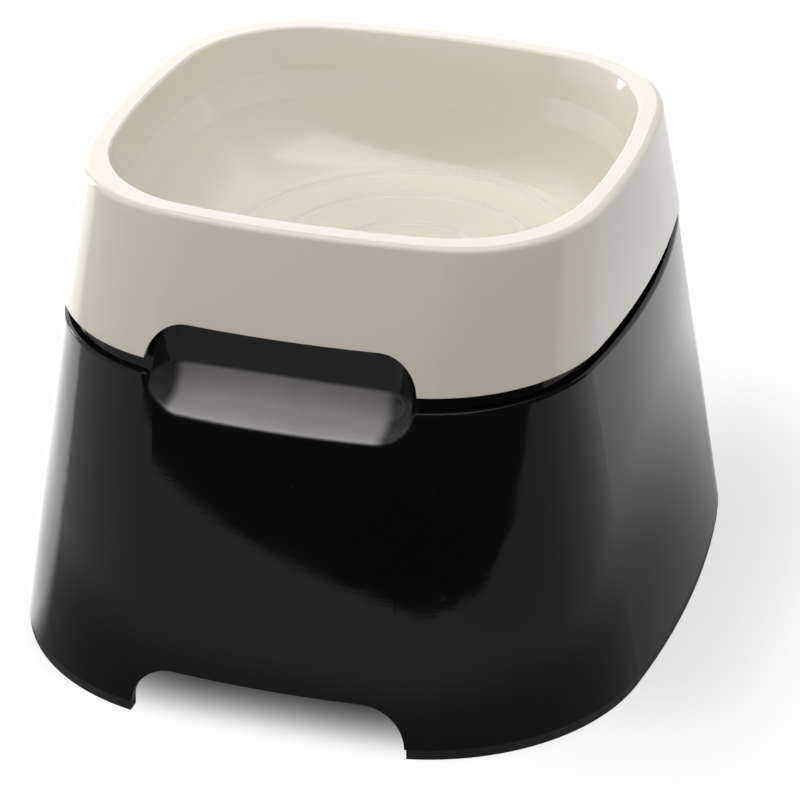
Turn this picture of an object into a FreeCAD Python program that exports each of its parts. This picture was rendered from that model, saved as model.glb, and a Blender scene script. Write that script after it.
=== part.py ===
import FreeCAD, Part
import Sketcher
import math
import os

# Raised pet water bowl: a one-piece bowl with a flared skirt that drops over a hollow flared base,
# which stands on two rubber strips. Millimetres, origin under the middle of the base, front towards -Y.

doc = FreeCAD.newDocument("pet_water_bowl")
sheet = doc.addObject("Spreadsheet::Sheet", "Sizes")

SIZES = [
    # Base, lower end of its flared wall
    ("foot_width", 240.0),
    ("foot_depth", 266.0),
    ("foot_front_bow", 385.0),
    ("foot_side_bow", 430.0),
    ("foot_corner", 82.0),
    # Base, shoulder where the flared wall ends
    ("shoulder_height", 125.6),
    ("shoulder_width", 204.2),
    ("shoulder_depth", 226.8),
    ("shoulder_front_bow", 300.0),
    ("shoulder_side_bow", 322.0),
    ("shoulder_corner", 62.0),
    ("shoulder_rounding", 1.5),
    ("base_wall", 2.8),
    # Base, neck that stands up inside the skirt and ends in an inturned deck
    ("neck_clearance", 2.0),
    ("neck_height", 27.2),
    ("deck_thickness", 2.8),
    ("deck_clearance", 1.8),
    # Arch through the foot, front and back
    ("arch_width", 100.8),
    ("arch_height", 19.2),
    ("arch_corner", 16.0),
    # Finger pocket in the shoulder, front and back
    ("pocket_width", 93.0),
    ("pocket_drop", 11.6),
    ("pocket_lintel", 5.6),
    ("pocket_back", 97.0),
    ("pocket_corner", 12.0),
    ("pocket_bend", 9.5),
    ("pocket_lip", 2.5),
    # Rubber strip under the foot
    ("strip_height", 4.0),
    ("strip_width", 5.0),
    ("strip_setback", 0.3),
    ("strip_tongue", 5.0),
    ("strip_fit", 0.2),
    ("strip_end_gap", 0.6),
    # Bowl, lower edge of its skirt
    ("skirt_gap", 5.3),
    ("skirt_width", 202.6),
    ("skirt_depth", 223.0),
    ("skirt_front_bow", 382.0),
    ("skirt_side_bow", 423.0),
    ("skirt_corner", 62.5),
    # Bowl, rim
    ("rim_above_deck", 23.7),
    ("rim_width", 192.6),
    ("rim_depth", 180.0),
    ("rim_front_bow", 369.0),
    ("rim_side_bow", 292.0),
    ("rim_corner", 51.0),
    ("rim_rounding", 2.6),
    ("rim_inner_rounding", 1.1),
    ("bowl_wall", 2.6),
    # Notch in the skirt, front and back
    ("notch_width", 97.8),
    ("notch_height", 12.7),
    ("notch_corner", 15.0),
    # Basin, opening at the rim
    ("opening_width", 176.6),
    ("opening_depth", 164.0),
    ("opening_front_bow", 361.0),
    ("opening_side_bow", 270.0),
    ("opening_corner", 48.0),
    # Basin, waist where the steep wall ends
    ("waist_drop", 24.5),
    ("waist_width", 165.0),
    ("waist_depth", 155.0),
    ("waist_front_bow", 300.0),
    ("waist_side_bow", 262.0),
    ("waist_corner", 49.0),
    # Basin, bend where the wall turns into the floor
    ("bend_drop", 41.5),
    ("bend_width", 150.0),
    ("bend_depth", 148.0),
    ("bend_bow", 150.0),
    ("bend_corner", 52.0),
    # Basin, floor
    ("floor_drop", 48.5),
    ("floor_width", 137.0),
    ("floor_bow", 84.0),
    ("floor_corner", 60.0),
    ("floor_shift_right", 9.0),
    ("floor_shift_back", 3.0),
    # Rings stepped down into the floor, outside radius of each
    ("ring_outer", 65.0),
    ("ring_middle", 48.0),
    ("ring_inner", 26.5),
    ("ring_step", 0.8),
    ("ring_slope", 2.4),
    # Webs under the rim that stand on the deck
    ("web_thickness", 2.2),
    ("web_offset", 40.0),
]

for line, (alias, value) in enumerate(SIZES, start=1):
    sheet.set("A%d" % line, alias)
    sheet.set("B%d" % line, str(value))
    sheet.setAlias("B%d" % line, alias)
doc.recompute()


# Levels that follow from the sizes, so that the bowl stays seated in the base when one changes
DECK = "(Sizes.shoulder_height + Sizes.neck_height)"
SKIRT = "(Sizes.shoulder_height + Sizes.skirt_gap)"
RIM = "(Sizes.shoulder_height + Sizes.neck_height + Sizes.rim_above_deck)"


def size(expression):
    """The number that a sheet expression gives now, for placing geometry before it is constrained."""
    return float(sheet.evalExpression(expression))


def outline(width, depth, front_bow, side_bow, corner, inset="0"):
    """A rounded-square outline, as expressions, drawn inset by one distance all round."""
    return {
        "half_width": "(%s) / 2 - (%s)" % (width, inset),
        "half_depth": "(%s) / 2 - (%s)" % (depth, inset),
        "front_bow": "(%s) - (%s)" % (front_bow, inset),
        "side_bow": "(%s) - (%s)" % (side_bow, inset),
        "corner": "(%s) - (%s)" % (corner, inset),
    }


def between(lower, upper, share, inset="0"):
    """The outline a share of the way up a wall, whose two ends are named in the sheet."""
    parts = []
    for part in ("width", "depth", "front_bow", "side_bow", "corner"):
        low = "Sizes.%s_%s" % (lower, part)
        parts.append("%s + (Sizes.%s_%s - %s) * (%s)" % (low, upper, part, low, share))
    return outline(*parts, inset=inset)


def named(level, inset="0"):
    """The outline of one level that the sheet names, such as foot, shoulder or rim."""
    return between(level, level, "0", inset)


def origin_plane(body, role):
    return [item for item in body.Origin.OriginFeatures if item.Role == role][0]


def flat(x, y):
    return FreeCAD.Vector(x, y, 0)


def bind(sketch, label, constraint, expression):
    """Adds a constraint under a name and ties its value to the sheet."""
    index = sketch.addConstraint(constraint)
    sketch.renameConstraint(index, label)
    sketch.setExpression("Constraints." + label, expression)


def edges_at(shape, height):
    """The names of the edges that lie level at one height."""
    return [
        "Edge%d" % number
        for number, edge in enumerate(shape.Edges, start=1)
        if all(abs(vertex.Point.z - height) < 0.01 for vertex in edge.Vertexes)
    ]


def level_sketch(body, name, height, shape, shift=("0", "0")):
    """A sketch on the body's ground plane, lifted to a height, that holds one rounded-square outline.

    The four sides are shallow arcs, and four corner arcs run into them without a kink.
    """
    sketch = body.newObject("Sketcher::SketchObject", name)
    sketch.AttachmentSupport = (origin_plane(body, "XY_Plane"), [""])
    sketch.MapMode = "FlatFace"
    sketch.setExpression("AttachmentOffset.Base.x", shift[0])
    sketch.setExpression("AttachmentOffset.Base.y", shift[1])
    sketch.setExpression("AttachmentOffset.Base.z", height)

    half_width, half_depth, front_bow, side_bow, corner = [
        size(shape[key]) for key in ("half_width", "half_depth", "front_bow", "side_bow", "corner")
    ]
    front = FreeCAD.Vector(0, front_bow - half_depth, 0)
    right = FreeCAD.Vector(half_width - side_bow, 0, 0)
    # The corner centre is as far from each side's centre as the difference of the two radii.
    span = right - front
    along = ((front_bow - corner) ** 2 - (side_bow - corner) ** 2 + span.Length ** 2) / (2 * span.Length)
    across = math.sqrt((front_bow - corner) ** 2 - along ** 2)
    unit = FreeCAD.Vector(span).normalize()
    middle = front + unit * along + FreeCAD.Vector(-unit.y, unit.x, 0) * across
    if middle.y > 0:
        middle = front + unit * along - FreeCAD.Vector(-unit.y, unit.x, 0) * across
    front_turn = math.atan2(middle.x - front.x, front.y - middle.y)
    side_turn = math.atan2(-middle.y, middle.x - right.x)

    quarter = math.pi / 2
    circles = [
        (front, front_bow, -quarter - front_turn, -quarter + front_turn),
        (middle, corner, -quarter + front_turn, -side_turn),
        (right, side_bow, -side_turn, side_turn),
        (FreeCAD.Vector(middle.x, -middle.y, 0), corner, side_turn, quarter - front_turn),
        (-front, front_bow, quarter - front_turn, quarter + front_turn),
        (-middle, corner, quarter + front_turn, 2 * quarter - side_turn),
        (-right, side_bow, 2 * quarter - side_turn, 2 * quarter + side_turn),
        (FreeCAD.Vector(-middle.x, middle.y, 0), corner, 2 * quarter + side_turn, 3 * quarter - front_turn),
    ]
    for centre, radius, start, end in circles:
        circle = Part.Circle(centre, FreeCAD.Vector(0, 0, 1), radius)
        sketch.addGeometry(Part.ArcOfCircle(circle, start, end), False)

    for arc in range(8):
        sketch.addConstraint(Sketcher.Constraint("Tangent", arc, 2, (arc + 1) % 8, 1))
    sketch.addConstraint(Sketcher.Constraint("PointOnObject", 0, 3, -2))
    sketch.addConstraint(Sketcher.Constraint("PointOnObject", 2, 3, -1))
    sketch.addConstraint(Sketcher.Constraint("Symmetric", 0, 3, 4, 3, -1, 1))
    sketch.addConstraint(Sketcher.Constraint("Symmetric", 2, 3, 6, 3, -1, 1))
    sketch.addConstraint(Sketcher.Constraint("Equal", 0, 4))
    sketch.addConstraint(Sketcher.Constraint("Equal", 2, 6))
    for other in (3, 5, 7):
        sketch.addConstraint(Sketcher.Constraint("Equal", 1, other))
    front_centre = "%s - (%s)" % (shape["front_bow"], shape["half_depth"])
    side_centre = "%s - (%s)" % (shape["side_bow"], shape["half_width"])
    bind(sketch, "front_bow", Sketcher.Constraint("Radius", 0, front_bow), shape["front_bow"])
    bind(sketch, "side_bow", Sketcher.Constraint("Radius", 2, side_bow), shape["side_bow"])
    bind(sketch, "corner", Sketcher.Constraint("Radius", 1, corner), shape["corner"])
    bind(sketch, "front_centre", Sketcher.Constraint("DistanceY", -1, 1, 0, 3, front.y), front_centre)
    bind(sketch, "side_centre", Sketcher.Constraint("DistanceX", 2, 3, -1, 1, -right.x), side_centre)
    sketch.Visibility = False
    return sketch


def is_lip(edge):
    """Whether an edge of the pocketed wall runs round the mouth of a finger pocket."""
    reach = size("Sizes.pocket_width") / 2 + 0.01
    front = size("Sizes.pocket_back + Sizes.pocket_bend") + 0.01
    ledge = size("Sizes.shoulder_height") - 0.01
    floor = size("Sizes.shoulder_height - Sizes.pocket_drop") - 0.01
    points = [vertex.Point for vertex in edge.Vertexes]
    in_width = all(abs(point.x) < reach and point.z > floor for point in points)
    on_wall = all(abs(point.y) > front for point in points)
    on_ledge = all(point.z > ledge for point in points)
    return in_width and (on_wall or on_ledge)


def new_body(name):
    return doc.addObject("PartDesign::Body", name)


def loft(body, name, sketches, ruled=True):
    """A wall drawn from its upper outline down, the order that keeps its faces outward."""
    feature = body.newObject("PartDesign::AdditiveLoft", name)
    feature.Profile = sketches[0]
    feature.Sections = sketches[1:]
    feature.Ruled = ruled
    doc.recompute()
    return feature


def pad(body, name, sketch, length):
    feature = body.newObject("PartDesign::Pad", name)
    feature.Profile = sketch
    feature.setExpression("Length", length)
    doc.recompute()
    return feature


def arch_sketch(body, name, half_width, foot, top, corner, below):
    """A front-view outline with a flat top and two round upper corners, drawn down past its lower end."""
    sketch = body.newObject("Sketcher::SketchObject", name)
    sketch.AttachmentSupport = (origin_plane(body, "XZ_Plane"), [""])
    sketch.MapMode = "FlatFace"
    reach = size(half_width)
    bottom = "%s - (%s)" % (foot, below)
    low = size(bottom)
    high = size(top)
    bend = size(corner)

    def rounding(x, start):
        circle = Part.Circle(flat(x, high - bend), FreeCAD.Vector(0, 0, 1), bend)
        return Part.ArcOfCircle(circle, start, start + math.pi / 2)

    shapes = [
        Part.LineSegment(flat(-reach, low), flat(reach, low)),
        Part.LineSegment(flat(reach, low), flat(reach, high - bend)),
        rounding(reach - bend, 0),
        Part.LineSegment(flat(reach - bend, high), flat(bend - reach, high)),
        rounding(bend - reach, math.pi / 2),
        Part.LineSegment(flat(-reach, high - bend), flat(-reach, low)),
    ]
    for item in shapes:
        sketch.addGeometry(item, False)
    for first, second in ((0, 1), (5, 0)):
        sketch.addConstraint(Sketcher.Constraint("Coincident", first, 2, second, 1))
    for first, second in ((1, 2), (2, 3), (3, 4), (4, 5)):
        sketch.addConstraint(Sketcher.Constraint("Tangent", first, 2, second, 1))
    for side in (1, 5):
        sketch.addConstraint(Sketcher.Constraint("Vertical", side))
    sketch.addConstraint(Sketcher.Constraint("Horizontal", 3))
    sketch.addConstraint(Sketcher.Constraint("Equal", 2, 4))
    sketch.addConstraint(Sketcher.Constraint("Symmetric", 0, 1, 0, 2, -2))
    bind(sketch, "half_width", Sketcher.Constraint("DistanceX", -1, 1, 0, 2, reach), half_width)
    bind(sketch, "low", Sketcher.Constraint("DistanceY", -1, 1, 0, 2, low), bottom)
    bind(sketch, "high", Sketcher.Constraint("DistanceY", -1, 1, 3, 1, high), top)
    bind(sketch, "corner", Sketcher.Constraint("Radius", 2, bend), corner)
    sketch.Visibility = False
    return sketch


def through_tool(name, *arch):
    """A bar with an arch's section that runs through the whole depth of the object."""
    body = new_body(name)
    sketch = arch_sketch(body, name + "_outline", *arch)
    bar = pad(body, name + "_bar", sketch, "Sizes.foot_depth + 20")
    bar.Midplane = True
    doc.recompute()
    return body


def pocket_tool(name, growth, top):
    """The space of the front finger pocket, or that space grown by the wall that lines it."""
    body = new_body(name)
    sketch = body.newObject("Sketcher::SketchObject", name + "_outline")
    sketch.AttachmentSupport = (origin_plane(body, "XZ_Plane"), [""])
    sketch.MapMode = "FlatFace"
    sketch.setExpression("AttachmentOffset.Base.z", "Sizes.pocket_back - (%s)" % growth)
    half_width = "Sizes.pocket_width / 2 + (%s)" % growth
    floor = "Sizes.shoulder_height - Sizes.pocket_drop - (%s)" % growth
    corner = "Sizes.pocket_corner + (%s)" % growth
    reach = size(half_width)
    low = size(floor)
    high = size(top)
    bend = size(corner)

    def rounding(x, start):
        circle = Part.Circle(flat(x, low + bend), FreeCAD.Vector(0, 0, 1), bend)
        return Part.ArcOfCircle(circle, start, start + math.pi / 2)

    shapes = [
        Part.LineSegment(flat(bend - reach, low), flat(reach - bend, low)),
        rounding(reach - bend, -math.pi / 2),
        Part.LineSegment(flat(reach, low + bend), flat(reach, high)),
        Part.LineSegment(flat(reach, high), flat(-reach, high)),
        Part.LineSegment(flat(-reach, high), flat(-reach, low + bend)),
        rounding(bend - reach, math.pi),
    ]
    for item in shapes:
        sketch.addGeometry(item, False)
    for first, second in ((0, 1), (1, 2), (4, 5), (5, 0)):
        sketch.addConstraint(Sketcher.Constraint("Tangent", first, 2, second, 1))
    for first, second in ((2, 3), (3, 4)):
        sketch.addConstraint(Sketcher.Constraint("Coincident", first, 2, second, 1))
    sketch.addConstraint(Sketcher.Constraint("Horizontal", 0))
    for side in (2, 4):
        sketch.addConstraint(Sketcher.Constraint("Vertical", side))
    sketch.addConstraint(Sketcher.Constraint("Equal", 1, 5))
    sketch.addConstraint(Sketcher.Constraint("Symmetric", 3, 1, 3, 2, -2))
    bind(sketch, "half_width", Sketcher.Constraint("DistanceX", -1, 1, 3, 1, reach), half_width)
    bind(sketch, "floor", Sketcher.Constraint("DistanceY", -1, 1, 0, 1, low), floor)
    bind(sketch, "top", Sketcher.Constraint("DistanceY", -1, 1, 3, 1, high), top)
    bind(sketch, "corner", Sketcher.Constraint("Radius", 1, bend), corner)
    sketch.Visibility = False
    block = pad(body, name + "_block", sketch, "Sizes.foot_depth / 2 + 10 - Sizes.pocket_back")
    back = size("Sizes.pocket_back - (%s)" % growth)
    bottom_and_sides = [
        "Edge%d" % number
        for number, edge in enumerate(block.Shape.Edges, start=1)
        if all(abs(vertex.Point.y + back) < 0.01 for vertex in edge.Vertexes)
        and edge.CenterOfMass.z < high - 0.01
    ]
    bend_round = body.newObject("PartDesign::Fillet", name + "_bend")
    bend_round.Base = (block, bottom_and_sides)
    bend_round.setExpression("Radius", "Sizes.pocket_bend + (%s)" % growth)
    doc.recompute()
    return body


def cut(name, base, tool):
    feature = doc.addObject("Part::Cut", name)
    feature.Base = base
    feature.Tool = tool
    doc.recompute()
    return feature


def front_and_back(name, source):
    """The piece and its mirror image behind the middle of the object, as one tool."""
    mirrored = doc.addObject("Part::Mirroring", name + "_behind")
    mirrored.Source = source
    mirrored.Normal = (0, 1, 0)
    both = doc.addObject("Part::Compound", name)
    both.Links = [source, mirrored]
    doc.recompute()
    return both


# Base: finger pockets, front and back, and the wall that lines them

pocket_front = pocket_tool("pocket_front", "0", DECK + " - Sizes.pocket_lintel")
pocket_liner = pocket_tool("pocket_liner", "Sizes.base_wall", DECK + " - Sizes.deck_thickness / 2")
pocket_space = front_and_back("pocket_space", pocket_front)
pocket_lining = front_and_back("pocket_lining", pocket_liner)

# Base: outer form, its flared wall rounded at the shoulder and round the mouth of each pocket

neck_inset = "Sizes.bowl_wall + Sizes.neck_clearance"
neck_rise = "(%s - %s) / (%s - %s)" % (DECK, SKIRT, RIM, SKIRT)
neck_root = "Sizes.shoulder_height - Sizes.base_wall - Sizes.pocket_lip"
neck_start = "(%s - %s) / (%s - %s)" % (neck_root, SKIRT, RIM, SKIRT)

wall_form = new_body("wall_form")
foot_outline = level_sketch(wall_form, "foot_outline", "Sizes.strip_height", named("foot"))
shoulder_outline = level_sketch(wall_form, "shoulder_outline", "Sizes.shoulder_height", named("shoulder"))
loft(wall_form, "flared_wall", [shoulder_outline, foot_outline])
pocketed_wall = cut("pocketed_wall", wall_form, pocket_space)
shoulder = size("Sizes.shoulder_rounding")
lip = size("Sizes.pocket_lip")
lip_edges = [
    number for number, edge in enumerate(pocketed_wall.Shape.Edges, start=1) if is_lip(edge)
]
shoulder_edges = [
    int(name[4:]) for name in edges_at(pocketed_wall.Shape, size("Sizes.shoulder_height"))
]
rounded_wall = doc.addObject("Part::Fillet", "rounded_wall")
rounded_wall.Base = pocketed_wall
rounded_wall.Edges = [(number, lip, lip) for number in lip_edges] + [
    (number, shoulder, shoulder) for number in shoulder_edges if number not in lip_edges
]
doc.recompute()

neck_form = new_body("neck_form")
neck_foot = level_sketch(
    neck_form,
    "neck_foot",
    neck_root,
    between("skirt", "rim", neck_start, neck_inset),
)
neck_top = level_sketch(neck_form, "neck_top", DECK, between("skirt", "rim", neck_rise, neck_inset))
loft(neck_form, "neck", [neck_top, neck_foot])
pocketed_neck = cut("pocketed_neck", neck_form, pocket_space)

# Base: its inside

base_inside = new_body("base_inside")
inside_foot = level_sketch(
    base_inside, "inside_foot", "Sizes.strip_height", named("foot", "Sizes.base_wall")
)
inside_shoulder = level_sketch(
    base_inside,
    "inside_shoulder",
    "Sizes.shoulder_height - Sizes.base_wall",
    named("shoulder", "Sizes.base_wall"),
)
loft(base_inside, "inside_wall", [inside_shoulder, inside_foot])
inside_neck_start = "(Sizes.shoulder_height - Sizes.base_wall - %s) / (%s - %s)" % (SKIRT, RIM, SKIRT)
inside_neck_inset = neck_inset + " + Sizes.base_wall"
inside_neck_foot = level_sketch(
    base_inside,
    "inside_neck_foot",
    "Sizes.shoulder_height - Sizes.base_wall",
    between("skirt", "rim", inside_neck_start, inside_neck_inset),
)
inside_neck_top = level_sketch(
    base_inside,
    "inside_neck_top",
    DECK + " - Sizes.deck_thickness",
    between("skirt", "rim", neck_rise, inside_neck_inset),
)
loft(base_inside, "inside_neck", [inside_neck_top, inside_neck_foot])
deck_opening = level_sketch(
    base_inside,
    "deck_opening",
    DECK + " - Sizes.deck_thickness - 1",
    named("waist", "-Sizes.bowl_wall - Sizes.deck_clearance"),
)
pad(base_inside, "deck_hole", deck_opening, "Sizes.deck_thickness + 2")

# Base: arches through the foot, front and back

arches = through_tool(
    "arches",
    "Sizes.arch_width / 2",
    "0",
    "Sizes.arch_height",
    "Sizes.arch_corner",
    "10",
)

# Base: one moulding

base_solid = doc.addObject("Part::Fuse", "base_solid")
base_solid.Base = rounded_wall
base_solid.Tool = pocketed_neck
base_room = cut("base_room", base_inside, pocket_lining)
base_shell = cut("base_shell", base_solid, base_room)
base = cut("base", base_shell, arches)
base.Label = "base"

# Rubber strips: a foot under the wall and a tongue behind it

tongue_rise = "Sizes.strip_tongue / (Sizes.shoulder_height - Sizes.strip_height)"
tongue_inset = "Sizes.base_wall + Sizes.strip_fit"

strip_form = new_body("strip_form")
strip_outline = level_sketch(strip_form, "strip_outline", "0", named("foot", "Sizes.strip_setback"))
pad(strip_form, "strip_foot", strip_outline, "Sizes.strip_height")
tongue_foot = level_sketch(strip_form, "tongue_foot", "Sizes.strip_height", named("foot", tongue_inset))
tongue_top = level_sketch(
    strip_form,
    "tongue_top",
    "Sizes.strip_height + Sizes.strip_tongue",
    between("foot", "shoulder", tongue_rise, tongue_inset),
)
loft(strip_form, "strip_tongue_wall", [tongue_top, tongue_foot])

strip_inside = new_body("strip_inside")
strip_inner_foot = level_sketch(
    strip_inside, "strip_inner_foot", "0", named("foot", "Sizes.strip_width")
)
strip_inner_top = level_sketch(
    strip_inside,
    "strip_inner_top",
    "Sizes.strip_height + Sizes.strip_tongue",
    between("foot", "shoulder", tongue_rise, "Sizes.strip_width"),
)
loft(strip_inside, "strip_inner_wall", [strip_inner_top, strip_inner_foot])

strip_arches = through_tool(
    "strip_arches",
    "Sizes.arch_width / 2 + Sizes.strip_end_gap",
    "0",
    "Sizes.arch_height",
    "Sizes.arch_corner",
    "10",
)
strip_ring = cut("strip_ring", strip_form, strip_inside)
strip_pair = cut("strip_pair", strip_ring, strip_arches)
for side, sign in (("left", -1), ("right", 1)):
    half = doc.addObject("Part::Box", side + "_half")
    half.setExpression("Length", "Sizes.foot_width")
    half.setExpression("Width", "Sizes.foot_depth + 20")
    half.setExpression("Height", "Sizes.shoulder_height")
    half.setExpression("Placement.Base.x", "-Sizes.foot_width" if sign < 0 else "0")
    half.setExpression("Placement.Base.y", "-Sizes.foot_depth / 2 - 10")
    half.setExpression("Placement.Base.z", "-10")
    strip = doc.addObject("Part::Common", "anti_slip_strip_" + side)
    strip.Base = strip_pair
    strip.Tool = half
    strip.Label = "anti_slip_strip_" + side
doc.recompute()

# Bowl: flared skirt with its notches

skirt_form = new_body("skirt_form")
skirt_outline = level_sketch(skirt_form, "skirt_outline", SKIRT, named("skirt"))
rim_outline = level_sketch(skirt_form, "rim_outline", RIM, named("rim"))
skirt_wall = loft(skirt_form, "skirt_wall", [rim_outline, skirt_outline])
rim_round = skirt_form.newObject("PartDesign::Fillet", "rim_round")
rim_round.Base = (skirt_wall, edges_at(skirt_wall.Shape, size(RIM)))
rim_round.setExpression("Radius", "Sizes.rim_rounding")
doc.recompute()

notches = through_tool(
    "notches",
    "Sizes.notch_width / 2",
    SKIRT,
    SKIRT + " + Sizes.notch_height",
    "Sizes.notch_corner",
    "10",
)

skirt_inside = new_body("skirt_inside")
inside_skirt = level_sketch(skirt_inside, "inside_skirt", SKIRT, named("skirt", "Sizes.bowl_wall"))
under_rim = level_sketch(
    skirt_inside, "under_rim", RIM + " - Sizes.bowl_wall", named("rim", "Sizes.bowl_wall")
)
loft(skirt_inside, "inside_skirt_wall", [under_rim, inside_skirt])

webs = []
for along, across in (("x", "y"), ("y", "x")):
    for sign in ("-", "+"):
        web = doc.addObject("Part::Box", "web_%s_%s" % (across, "left" if sign == "-" else "right"))
        lengths = {"x": "Length", "y": "Width"}
        web.setExpression(lengths[along], "Sizes.foot_depth")
        web.setExpression(lengths[across], "Sizes.web_thickness")
        web.setExpression("Height", "Sizes.rim_above_deck")
        web.setExpression("Placement.Base." + along, "-Sizes.foot_depth / 2")
        web.setExpression(
            "Placement.Base." + across, "%sSizes.web_offset - Sizes.web_thickness / 2" % sign
        )
        web.setExpression("Placement.Base.z", DECK)
        webs.append(web)
web_set = doc.addObject("Part::MultiFuse", "web_set")
web_set.Shapes = webs
doc.recompute()

# Bowl: basin, its outside and its inside


def basin(name, growth, top):
    """The basin's form: steep rounded-square walls that turn into a nearly round floor."""
    body = new_body(name)
    half_shift = ("Sizes.floor_shift_right / 2", "Sizes.floor_shift_back / 2")
    full_shift = ("Sizes.floor_shift_right", "Sizes.floor_shift_back")
    thinner = "-(%s)" % growth
    turn = ["Sizes.bend_" + part for part in ("width", "depth", "bow", "bow", "corner")]
    round_floor = ["Sizes.floor_" + part for part in ("width", "width", "bow", "bow", "corner")]
    waist_height = RIM + " - Sizes.waist_drop"
    turn_height = RIM + " - Sizes.bend_drop - (%s)" % growth
    floor_height = RIM + " - Sizes.floor_drop - (%s)" % growth
    levels = [
        level_sketch(body, name + "_opening", top, named("opening", thinner)),
        level_sketch(body, name + "_waist", waist_height, named("waist", thinner)),
        level_sketch(body, name + "_turn", turn_height, outline(*turn, inset=thinner), half_shift),
        level_sketch(body, name + "_floor", floor_height, outline(*round_floor, inset=thinner), full_shift),
    ]
    loft(body, name + "_wall", levels, ruled=False)
    return body


def stepped_rings(body, name, growth):
    """Rings that step down into the basin's floor, or the same rings one wall lower on its underside."""
    floor = RIM + " - Sizes.floor_drop - (%s)" % growth
    floor_level = size(floor)
    step = size("Sizes.ring_step")
    slope = size("Sizes.ring_slope")
    radii = ["Sizes.ring_%s + (%s) / 2" % (ring, growth) for ring in ("outer", "middle", "inner")]
    corners = [(0, floor_level)]
    for order, radius in enumerate(radii):
        corners.append((size(radius), floor_level - order * step))
        corners.append((size(radius) - slope, floor_level - (order + 1) * step))
    corners.append((0, floor_level - len(radii) * step))

    sketch = body.newObject("Sketcher::SketchObject", name + "_profile")
    sketch.AttachmentSupport = (origin_plane(body, "XZ_Plane"), [""])
    sketch.MapMode = "FlatFace"
    sketch.setExpression("AttachmentOffset.Base.x", "Sizes.floor_shift_right")
    sketch.setExpression("AttachmentOffset.Base.z", "-Sizes.floor_shift_back")
    for start, end in zip(corners, corners[1:] + corners[:1]):
        sketch.addGeometry(Part.LineSegment(flat(*start), flat(*end)), False)
    count = len(corners)
    for edge in range(count):
        sketch.addConstraint(Sketcher.Constraint("Coincident", edge, 2, (edge + 1) % count, 1))
    for edge in range(0, count - 1, 2):
        sketch.addConstraint(Sketcher.Constraint("Horizontal", edge))
    sketch.addConstraint(Sketcher.Constraint("Vertical", count - 1))
    sketch.addConstraint(Sketcher.Constraint("PointOnObject", 0, 1, -2))
    bind(sketch, "floor", Sketcher.Constraint("DistanceY", -1, 1, 0, 1, floor_level), floor)
    for order, radius in enumerate(radii):
        side = 2 * order + 1
        radius_mark = Sketcher.Constraint("DistanceX", -1, 1, side, 1, size(radius))
        slope_mark = Sketcher.Constraint("DistanceX", side, 2, side, 1, slope)
        step_mark = Sketcher.Constraint("DistanceY", side, 2, side, 1, step)
        bind(sketch, "radius_%d" % order, radius_mark, radius)
        bind(sketch, "slope_%d" % order, slope_mark, "Sizes.ring_slope")
        bind(sketch, "step_%d" % order, step_mark, "Sizes.ring_step")
    sketch.Visibility = False
    rings = body.newObject("PartDesign::Revolution", name)
    rings.Profile = sketch
    rings.ReferenceAxis = (sketch, ["V_Axis"])
    rings.Angle = 360
    doc.recompute()


basin_outside = basin("basin_outside", "Sizes.bowl_wall", RIM + " - Sizes.bowl_wall / 2")
basin_inside = basin("basin_inside", "0", RIM)
stepped_rings(basin_outside, "rings_below", "Sizes.bowl_wall")
stepped_rings(basin_inside, "rings_above", "0")

# Bowl: skirt, webs and basin as one moulding

under_rim_space = cut("under_rim_space", skirt_inside, web_set)
skirt_shell = cut("skirt_shell", skirt_form, under_rim_space)
notched_skirt = cut("notched_skirt", skirt_shell, notches)
bowl_block = doc.addObject("Part::Fuse", "bowl_block")
bowl_block.Base = notched_skirt
bowl_block.Tool = basin_outside
doc.recompute()
bowl_raw = cut("bowl_raw", bowl_block, basin_inside)
inner_reach = size("Sizes.opening_width") / 2 + size("Sizes.rim_inner_rounding")
opening_edges = [
    int(name[4:])
    for name in edges_at(bowl_raw.Shape, size(RIM))
    if bowl_raw.Shape.getElement(name).BoundBox.XMax < inner_reach
    and bowl_raw.Shape.getElement(name).BoundBox.XMin > -inner_reach
]
bowl = doc.addObject("Part::Fillet", "bowl")
bowl.Base = bowl_raw
rounding = size("Sizes.rim_inner_rounding")
bowl.Edges = [(number, rounding, rounding) for number in opening_edges]
bowl.Label = "bowl"
doc.recompute()

NODES = ("bowl", "base", "anti_slip_strip_left", "anti_slip_strip_right")

os.makedirs("parts", exist_ok=True)
for item in doc.Objects:
    if "Invalid" in item.State or "Error" in item.State:
        raise RuntimeError("%s is not valid" % item.Name)
for node in NODES:
    piece = doc.getObjectsByLabel(node)[0]
    if piece.Shape.isNull() or not piece.Shape.isValid():
        raise RuntimeError("%s has no valid shape" % node)
    piece.Shape.exportStep("parts/%s.step" % node)
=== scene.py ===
import bpy
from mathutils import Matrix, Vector

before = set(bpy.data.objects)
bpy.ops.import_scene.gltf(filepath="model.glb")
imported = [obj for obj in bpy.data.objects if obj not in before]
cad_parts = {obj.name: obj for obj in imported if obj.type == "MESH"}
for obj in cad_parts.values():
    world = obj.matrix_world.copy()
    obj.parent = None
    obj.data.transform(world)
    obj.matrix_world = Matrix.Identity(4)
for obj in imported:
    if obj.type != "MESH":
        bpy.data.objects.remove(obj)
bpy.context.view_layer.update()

# Bowl: the cream moulding with its basin, rim and flared skirt. One piece of gloss-polished
# plastic, injection moulded, with a faint ridge down the front and the back and a light line
# painted along it as a highlight. It drops over the neck of the base and lies there by its own
# weight.


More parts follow.
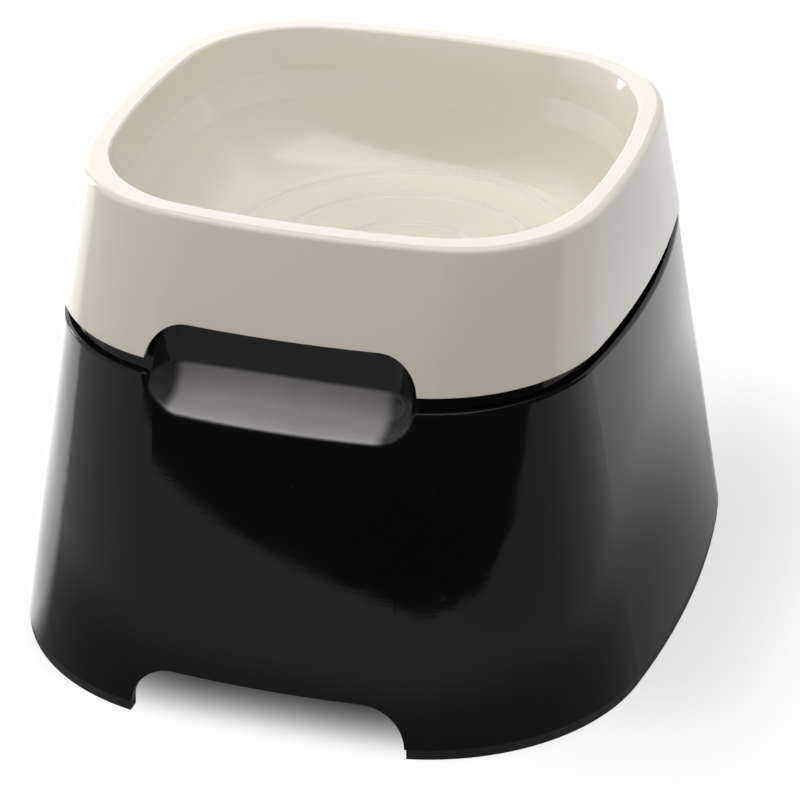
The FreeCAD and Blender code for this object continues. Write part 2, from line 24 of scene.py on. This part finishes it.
class Shader:
    """A material whose nodes are added one by one and joined as they are added."""

    def __init__(self, name):
        self.material = bpy.data.materials.new(name)
        self.material.use_nodes = True
        self.tree = self.material.node_tree
        self.surface = self.tree.nodes["Principled BSDF"]
        self.place = self.tree.nodes.new("ShaderNodeTexCoord").outputs["Object"]

    def feed(self, socket, value):
        """Link the value to the socket, or set it there if it is a constant."""
        if isinstance(value, bpy.types.NodeSocket):
            self.tree.links.new(value, socket)
        else:
            socket.default_value = value

    def math(self, operation, *values, clamp=False):
        node = self.tree.nodes.new("ShaderNodeMath")
        node.operation = operation
        node.use_clamp = clamp
        for socket, value in zip(node.inputs, values):
            self.feed(socket, value)
        return node.outputs[0]

    def product(self, first, *others):
        for value in others:
            first = self.math("MULTIPLY", first, value)
        return first

    def ramp(self, value, low, high, from_low=0.0, from_high=1.0):
        """A smooth step of a value from one range to another."""
        node = self.tree.nodes.new("ShaderNodeMapRange")
        node.interpolation_type = "SMOOTHSTEP"
        for socket, item in zip(node.inputs, (value, from_low, from_high, low, high)):
            self.feed(socket, item)
        return node.outputs[0]

    def noise(self, scale, detail=2.0, roughness=0.5, stretch=(1, 1, 1)):
        node = self.tree.nodes.new("ShaderNodeTexNoise")
        squeeze = self.tree.nodes.new("ShaderNodeMapping")
        squeeze.inputs["Scale"].default_value = stretch
        self.tree.links.new(self.place, squeeze.inputs["Vector"])
        self.tree.links.new(squeeze.outputs[0], node.inputs["Vector"])
        node.inputs["Scale"].default_value = scale
        node.inputs["Detail"].default_value = detail
        node.inputs["Roughness"].default_value = roughness
        return node.outputs["Fac"]

    def specks(self, scale, size, share):
        """Small round specks, one in each cell that is chosen; share is how many of them are."""
        cells = self.tree.nodes.new("ShaderNodeTexVoronoi")
        self.tree.links.new(self.place, cells.inputs["Vector"])
        cells.inputs["Scale"].default_value = scale
        parts = self.tree.nodes.new("ShaderNodeSeparateColor")
        self.tree.links.new(cells.outputs["Color"], parts.inputs[0])
        chosen = self.math("GREATER_THAN", parts.outputs[0], 1 - share)
        dot = self.ramp(cells.outputs["Distance"], 1.0, 0.0, size * 0.5, size)
        return self.math("MULTIPLY", dot, chosen)

    def mix(self, share, first, second):
        node = self.tree.nodes.new("ShaderNodeMix")
        node.data_type = "RGBA"
        self.feed(node.inputs["Factor"], share)
        self.feed(node.inputs[6], first)
        self.feed(node.inputs[7], second)
        return node.outputs[2]

    def bump(self, height, strength, distance, normal=None):
        node = self.tree.nodes.new("ShaderNodeBump")
        node.inputs["Strength"].default_value = strength
        node.inputs["Distance"].default_value = distance
        self.tree.links.new(height, node.inputs["Height"])
        if normal is not None:
            self.tree.links.new(normal, node.inputs["Normal"])
        return node.outputs[0]

    def axes(self):
        node = self.tree.nodes.new("ShaderNodeSeparateXYZ")
        self.tree.links.new(self.place, node.inputs[0])
        return node.outputs

    def spread(self, half_width, half_depth, power):
        """1 on a rounded square of these half sizes about the middle, less inside it."""
        x, y, _ = self.axes()
        across = self.math("ABSOLUTE", self.math("DIVIDE", x, half_width))
        along = self.math("ABSOLUTE", self.math("DIVIDE", y, half_depth))
        return self.math(
            "ADD", self.math("POWER", across, power), self.math("POWER", along, power))

    def painted_highlight_line(self, half_width):
        """The trace of a light line painted as a highlight, over a faint ridge; it leans to the
        right towards the foot.
        """
        line_at_floor, line_lean, basin_reach = 0.0613, 0.0576, 0.086
        x, y, z = self.axes()
        leaning = self.math("ADD", x, self.math("MULTIPLY", z, line_lean))
        away = self.math("ABSOLUTE", self.math("SUBTRACT", leaning, line_at_floor))
        near = self.ramp(away, 1.0, 0.0, half_width * 0.3, half_width)
        outside = self.math("GREATER_THAN", self.math("ABSOLUTE", y), basin_reach)
        return self.math("MULTIPLY", near, outside)

    def dress(self, *names):
        for name in names:
            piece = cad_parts[name]
            piece.data.materials.clear()
            piece.data.materials.append(self.material)


cream = Shader("cream_gloss_plastic")
surface = cream.surface.inputs
clouds = cream.noise(14, 3)
tone = cream.mix(clouds, (0.855, 0.808, 0.704, 1), (0.875, 0.830, 0.730, 1))
dust = cream.specks(900, 0.16, 0.012)
line = cream.painted_highlight_line(0.0003)
tone = cream.mix(cream.math("MULTIPLY", dust, 0.5), tone, (0.30, 0.26, 0.19, 1))
# Painted highlight: a faint light line down the front and the back, mixed into the colour.
tone = cream.mix(cream.math("MULTIPLY", line, 0.35), tone, (0.9, 0.88, 0.82, 1))
wear = cream.noise(70, 6, 0.65)
cream.feed(surface["Roughness"], cream.ramp(wear, 0.10, 0.17, 0.3, 0.7))
surface["IOR"].default_value = 1.5
surface["Subsurface Weight"].default_value = 0.12
surface["Subsurface Radius"].default_value = (0.005, 0.0042, 0.003)
surface["Subsurface Scale"].default_value = 1.0
sink = cream.bump(cream.noise(26, 1), 0.10, 0.0006)
skin = cream.bump(cream.noise(1400, 2), 0.05, 0.00002, sink)

# The three rings in the basin's floor have a painted highlight, a lighter line, along both edges
# of each, over a slight bump. They lie a little to the right of the middle and behind it.
ring_middle = (0.009, 0.003)
ring_edges = (0.0650, 0.0628, 0.0480, 0.0458, 0.0265, 0.0243)
basin_floor = 0.1295
x, y, z = cream.axes()
aside = cream.math("SUBTRACT", x, ring_middle[0])
ahead = cream.math("SUBTRACT", y, ring_middle[1])
radius = cream.math("SQRT", cream.math(
    "ADD", cream.math("MULTIPLY", aside, aside), cream.math("MULTIPLY", ahead, ahead)))
ring_edge_highlights = 0.0
for edge in ring_edges:
    away = cream.math("ABSOLUTE", cream.math("SUBTRACT", radius, edge))
    ring_edge_highlights = cream.math("ADD", cream.ramp(away, 1.0, 0.0, 0.0001, 0.0006), ring_edge_highlights)
ring_edge_highlights = cream.math("MULTIPLY", ring_edge_highlights, cream.math("LESS_THAN", z, basin_floor))
# Painted highlights: the ring edges are made lighter in colour.
tone = cream.mix(cream.math("MULTIPLY", ring_edge_highlights, 0.70), tone, (0.97, 0.95, 0.90, 1))
cream.feed(surface["Base Color"], tone)
skin = cream.bump(ring_edge_highlights, 1.0, 0.00022, skin)

# The basin's wall steps in softly at its waist.
basin_half_width, basin_half_depth = 0.0885, 0.0825
waist_top, waist_height = 0.1608, 0.010
inside = cream.math("LESS_THAN", cream.spread(basin_half_width, basin_half_depth, 4.0), 1.0)
drop = cream.math("MULTIPLY_ADD", z, -1 / waist_height, waist_top / waist_height, clamp=True)
skin = cream.bump(cream.math("MULTIPLY", drop, inside), 1.0, 0.0022, skin)
cream.feed(surface["Normal"], cream.bump(line, 0.25, 0.00003, skin))
cream.dress("bowl")

# Base: the hollow black stand. One high-gloss plastic moulding; the finger pockets are left with
# the mould's satin finish, and their lit look is painted in as a grey colour. It stands on the two
# rubber strips.

black = Shader("black_gloss_plastic")
surface = black.surface.inputs
wall_at_floor, wall_lean, wall_bow = 0.13364, -0.161, -1.61
neck_front = 0.0962
pocket_half_width = 0.0470
pocket_floor, skirt_shadow_edge = 0.1113, 0.1262
x, y, z = black.axes()
reach = black.math("ABSOLUTE", y)
bow = black.math("MULTIPLY", black.math("MULTIPLY", x, x), wall_bow)
wall = black.math("ADD", black.math("MULTIPLY_ADD", z, wall_lean, wall_at_floor), bow)
# The pockets' satin mask carries painted light: the grey is a painted sheen, faded at both ends as
# painted shade and cut off at the top by a painted shadow of the skirt.
satin_and_painted_light = black.product(
    black.ramp(black.math("SUBTRACT", wall, reach), 0.0, 1.0, 0.0002, 0.0012),
    # Painted shade at both ends of the pocket.
    black.ramp(x, 0.12, 1.0, -0.0418, -0.0375),
    black.ramp(x, 1.0, 0.12, 0.0335, 0.0390),
    black.ramp(z, 0.0, 1.0, pocket_floor, pocket_floor + 0.0012),
    # Painted shadow of the skirt across the top of the grey.
    black.ramp(z, 1.0, 0.0, skirt_shadow_edge - 0.0022, skirt_shadow_edge),
    black.math("GREATER_THAN", reach, neck_front),
    black.ramp(
        black.math("ABSOLUTE", x), 1.0, 0.0, pocket_half_width - 0.0008, pocket_half_width))
clouds = black.noise(60, 4, 0.6)
grain = black.noise(700, 3, 0.6, stretch=(0.12, 1, 1))
# Painted sheen: the grey colour stands for the light the satin catches.
painted_lit_grey = black.mix(clouds, (0.38, 0.37, 0.362, 1), (0.50, 0.486, 0.478, 1))
tone = black.mix(satin_and_painted_light, (0.0064, 0.0064, 0.0071, 1), painted_lit_grey)
dust = black.specks(1100, 0.22, 0.05)
tone = black.mix(black.product(satin_and_painted_light, 0.8, dust), tone, (0.03, 0.028, 0.026, 1))
lint = black.specks(420, 0.10, 0.006)
tone = black.mix(black.math("MULTIPLY", lint, 0.35), tone, (0.30, 0.30, 0.30, 1))
line = black.painted_highlight_line(0.00035)
# Painted highlight: the same faint light line down the front and the back, mixed into the colour.
tone = black.mix(black.math("MULTIPLY", line, 0.012), tone, (0.25, 0.25, 0.26, 1))
black.feed(surface["Base Color"], tone)
wear = black.ramp(black.noise(80, 6, 0.65), 0.045, 0.085, 0.3, 0.7)
black.feed(surface["Roughness"], black.ramp(satin_and_painted_light, wear, 0.46))
surface["Specular IOR Level"].default_value = 0.18
sink = black.bump(black.noise(20, 1), 0.06, 0.0006)
skin = black.bump(grain, 0.25, 0.00002, sink)
black.feed(surface["Normal"], black.bump(line, 0.12, 0.00002, skin))
black.dress("base")

# Rubber strips: soft black rubber strips pushed into the foot of the base, one along each side, so
# that the stand doesn't slide. They are moulded matte, with a fine grain.

rubber = Shader("black_strip_rubber")
surface = rubber.surface.inputs
clouds = rubber.noise(90, 3)
tone = rubber.mix(clouds, (0.010, 0.010, 0.010, 1), (0.018, 0.018, 0.018, 1))
rubber.feed(surface["Base Color"], tone)
rubber.feed(surface["Roughness"], rubber.ramp(rubber.noise(300, 4), 0.48, 0.66, 0.3, 0.7))
rubber.feed(surface["Normal"], rubber.bump(rubber.noise(1600, 2), 0.3, 0.00006))
rubber.dress("anti_slip_strip_left", "anti_slip_strip_right")

# Floor and backdrop: pale paper on a studio table. The table ends in front of the object, where
# the room is dark, so that the gloss base mirrors that dark in its middle. The paper is white away
# from the object, and keeps its soft shadow.

bpy.ops.object.select_all(action="DESELECT")
bpy.ops.mesh.primitive_plane_add(size=1, location=(-0.455, 1.584, 0), rotation=(0, 0, 0.28))
floor = bpy.context.object
floor.name = "studio_floor"
floor.scale = (5.0, 4.0, 1)
bpy.ops.object.transform_apply(location=True, rotation=True, scale=True)
paper = Shader("pale_paper")
surface = paper.surface.inputs
tone = paper.mix(paper.noise(40, 4), (0.86, 0.86, 0.86, 1), (0.88, 0.88, 0.88, 1))
paper.feed(surface["Base Color"], tone)
surface["Roughness"].default_value = 0.9
surface["Specular IOR Level"].default_value = 0.0
x, y, z = paper.axes()
foot_half_width, foot_half_depth = 0.120, 0.133
far = paper.spread(foot_half_width, foot_half_depth, 3.4)
# The glow fades in from well inside the foot's outline, so the paper under the hollow base, seen
# through the arches, is lit by a painted glow that greys towards the middle.
open_floor = paper.ramp(far, 0.0, 1.0, 0.14, 1.00)

# What the gloss mirrors of the paper is a glow that only gloss rays see, painted in: a painted
# shadow, dim near the foot and at the front right, brighter behind, and brightest on the left
# behind the base's front corner, which the base mirrors as a painted highlight. The backdrop
# mirrors as plain white does.
painted_gloss_glow = paper.math(
    "ADD", paper.ramp(far, 0.32, 1.00, 1.0, 9.0), paper.ramp(y, 0.0, 0.5, 0.02, 0.20))
painted_gloss_glow = paper.math("SUBTRACT", painted_gloss_glow, paper.ramp(y, 0.0, 0.35, 0.22, 0.38))
# Painted shadow: the glow is taken down at the front right, where the object's shadow would be
# mirrored.
painted_front_right_shadow = paper.math(
    "MULTIPLY", paper.ramp(x, 0.0, 0.25, 0.12, 0.30), paper.ramp(y, 1.0, 0.0, -0.12, 0.02))
painted_gloss_glow = paper.math("SUBTRACT", painted_gloss_glow, painted_front_right_shadow)
# Painted highlight: a brighter patch of glow on the left, behind the base's front corner.
behind_corner = paper.math("ADD", paper.math("MULTIPLY_ADD", x, 0.2126, 0.115), y)
left = paper.math(
    "MULTIPLY", paper.ramp(behind_corner, 0.0, 1.6, -0.01, 0.01),
    paper.ramp(x, 1.0, 0.0, -0.12, -0.08))
painted_gloss_glow = paper.math("ADD", painted_gloss_glow, left)
painted_gloss_glow = paper.math("MAXIMUM", painted_gloss_glow, paper.ramp(z, 0.0, 0.9, 0.02, 0.10))
path = paper.tree.nodes.new("ShaderNodeLightPath")
seen = paper.math(
    "MULTIPLY_ADD", path.outputs["Is Glossy Ray"], painted_gloss_glow, path.outputs["Is Camera Ray"])
glow = paper.tree.nodes.new("ShaderNodeEmission")
glow.inputs["Color"].default_value = (1, 1, 1, 1)
paper.feed(glow.inputs["Strength"], paper.math("MULTIPLY", seen, open_floor))

# The shadow on the right is the deeper one, so the paper's own white gives way to it there.
right = paper.product(
    paper.ramp(x, 0.0, 1.0, 0.05, 0.12),
    paper.ramp(far, 1.0, 0.0, 1.0, 3.8),
    paper.ramp(y, 0.0, 1.0, -0.13, -0.04))
whiteness = paper.math("MULTIPLY_ADD", right, -0.34, 0.96)
both = paper.tree.nodes.new("ShaderNodeMixShader")
paper.feed(both.inputs[0], paper.math("MULTIPLY", open_floor, whiteness))
paper.feed(both.inputs[1], paper.surface.outputs[0])
paper.feed(both.inputs[2], glow.outputs[0])
paper.feed(paper.tree.nodes["Material Output"].inputs["Surface"], both.outputs[0])
floor.data.materials.append(paper.material)
bpy.ops.mesh.primitive_plane_add(size=1, location=(0, 2.0, 1.3), rotation=(1.5708, 0, 0))
backdrop = bpy.context.object
backdrop.name = "studio_backdrop"
backdrop.scale = (6.0, 2.6, 1)
bpy.ops.object.transform_apply(location=True, rotation=True, scale=True)
backdrop.data.materials.append(paper.material)

# Studio: a large soft lamp overhead, a wide one on each side, a narrow strip at the left, and a
# dim room that is white to the camera. The right lamp lights, but isn't mirrored in the gloss.

world = bpy.data.worlds.new("studio_room")
bpy.context.scene.world = world
world.use_nodes = True
nodes = world.node_tree.nodes
links = world.node_tree.links
room = nodes["Background"]
room.inputs["Color"].default_value = (1, 0.93, 0.82, 1)
room.inputs["Strength"].default_value = 0.08
path = nodes.new("ShaderNodeLightPath")
white = nodes.new("ShaderNodeBackground")
white.inputs["Color"].default_value = (1, 1, 1, 1)
white.inputs["Strength"].default_value = 1.0
both = nodes.new("ShaderNodeMixShader")
links.new(path.outputs["Is Camera Ray"], both.inputs[0])
links.new(room.outputs[0], both.inputs[1])
links.new(white.outputs[0], both.inputs[2])
links.new(both.outputs[0], nodes["World Output"].inputs["Surface"])

lamps = [
    ("overhead_softbox", (0.00, -0.12, 1.25), 10.9, 1.3, 1.3, True),
    ("left_wall", (-1.05, -0.20, 0.57), 6.8, 2.2, 1.14, True),
    ("left_strip", (-0.92, 0.24, 0.29), 1.4, 0.16, 0.34, True),
    ("right_wall", (1.20, 0.05, 0.30), 5.0, 2.0, 0.55, False),
]
for name, place, power, width, height, in_gloss in lamps:
    bpy.ops.object.light_add(type="AREA", location=place)
    lamp = bpy.context.object
    lamp.name = name
    lamp.data.shape = "RECTANGLE"
    lamp.data.size = width
    lamp.data.size_y = height
    lamp.data.energy = power
    aim = Vector((0, 0, 0.1)) - Vector(place)
    lamp.rotation_euler = aim.to_track_quat("-Z", "Y").to_euler()
    lamp.visible_glossy = in_gloss

# Camera: from the front, a little to the right and above, as the photograph was taken.

camera_place = (0.368149, -1.107081, 0.710659)
camera_turn = (1.0653901, 0.0063834, 0.3112205)
bpy.ops.object.camera_add(location=camera_place, rotation=camera_turn)
camera = bpy.context.object
camera.data.lens = 162.108
camera.data.sensor_width = 36
bpy.context.scene.camera = camera
bpy.context.scene.view_settings.view_transform = "Standard"
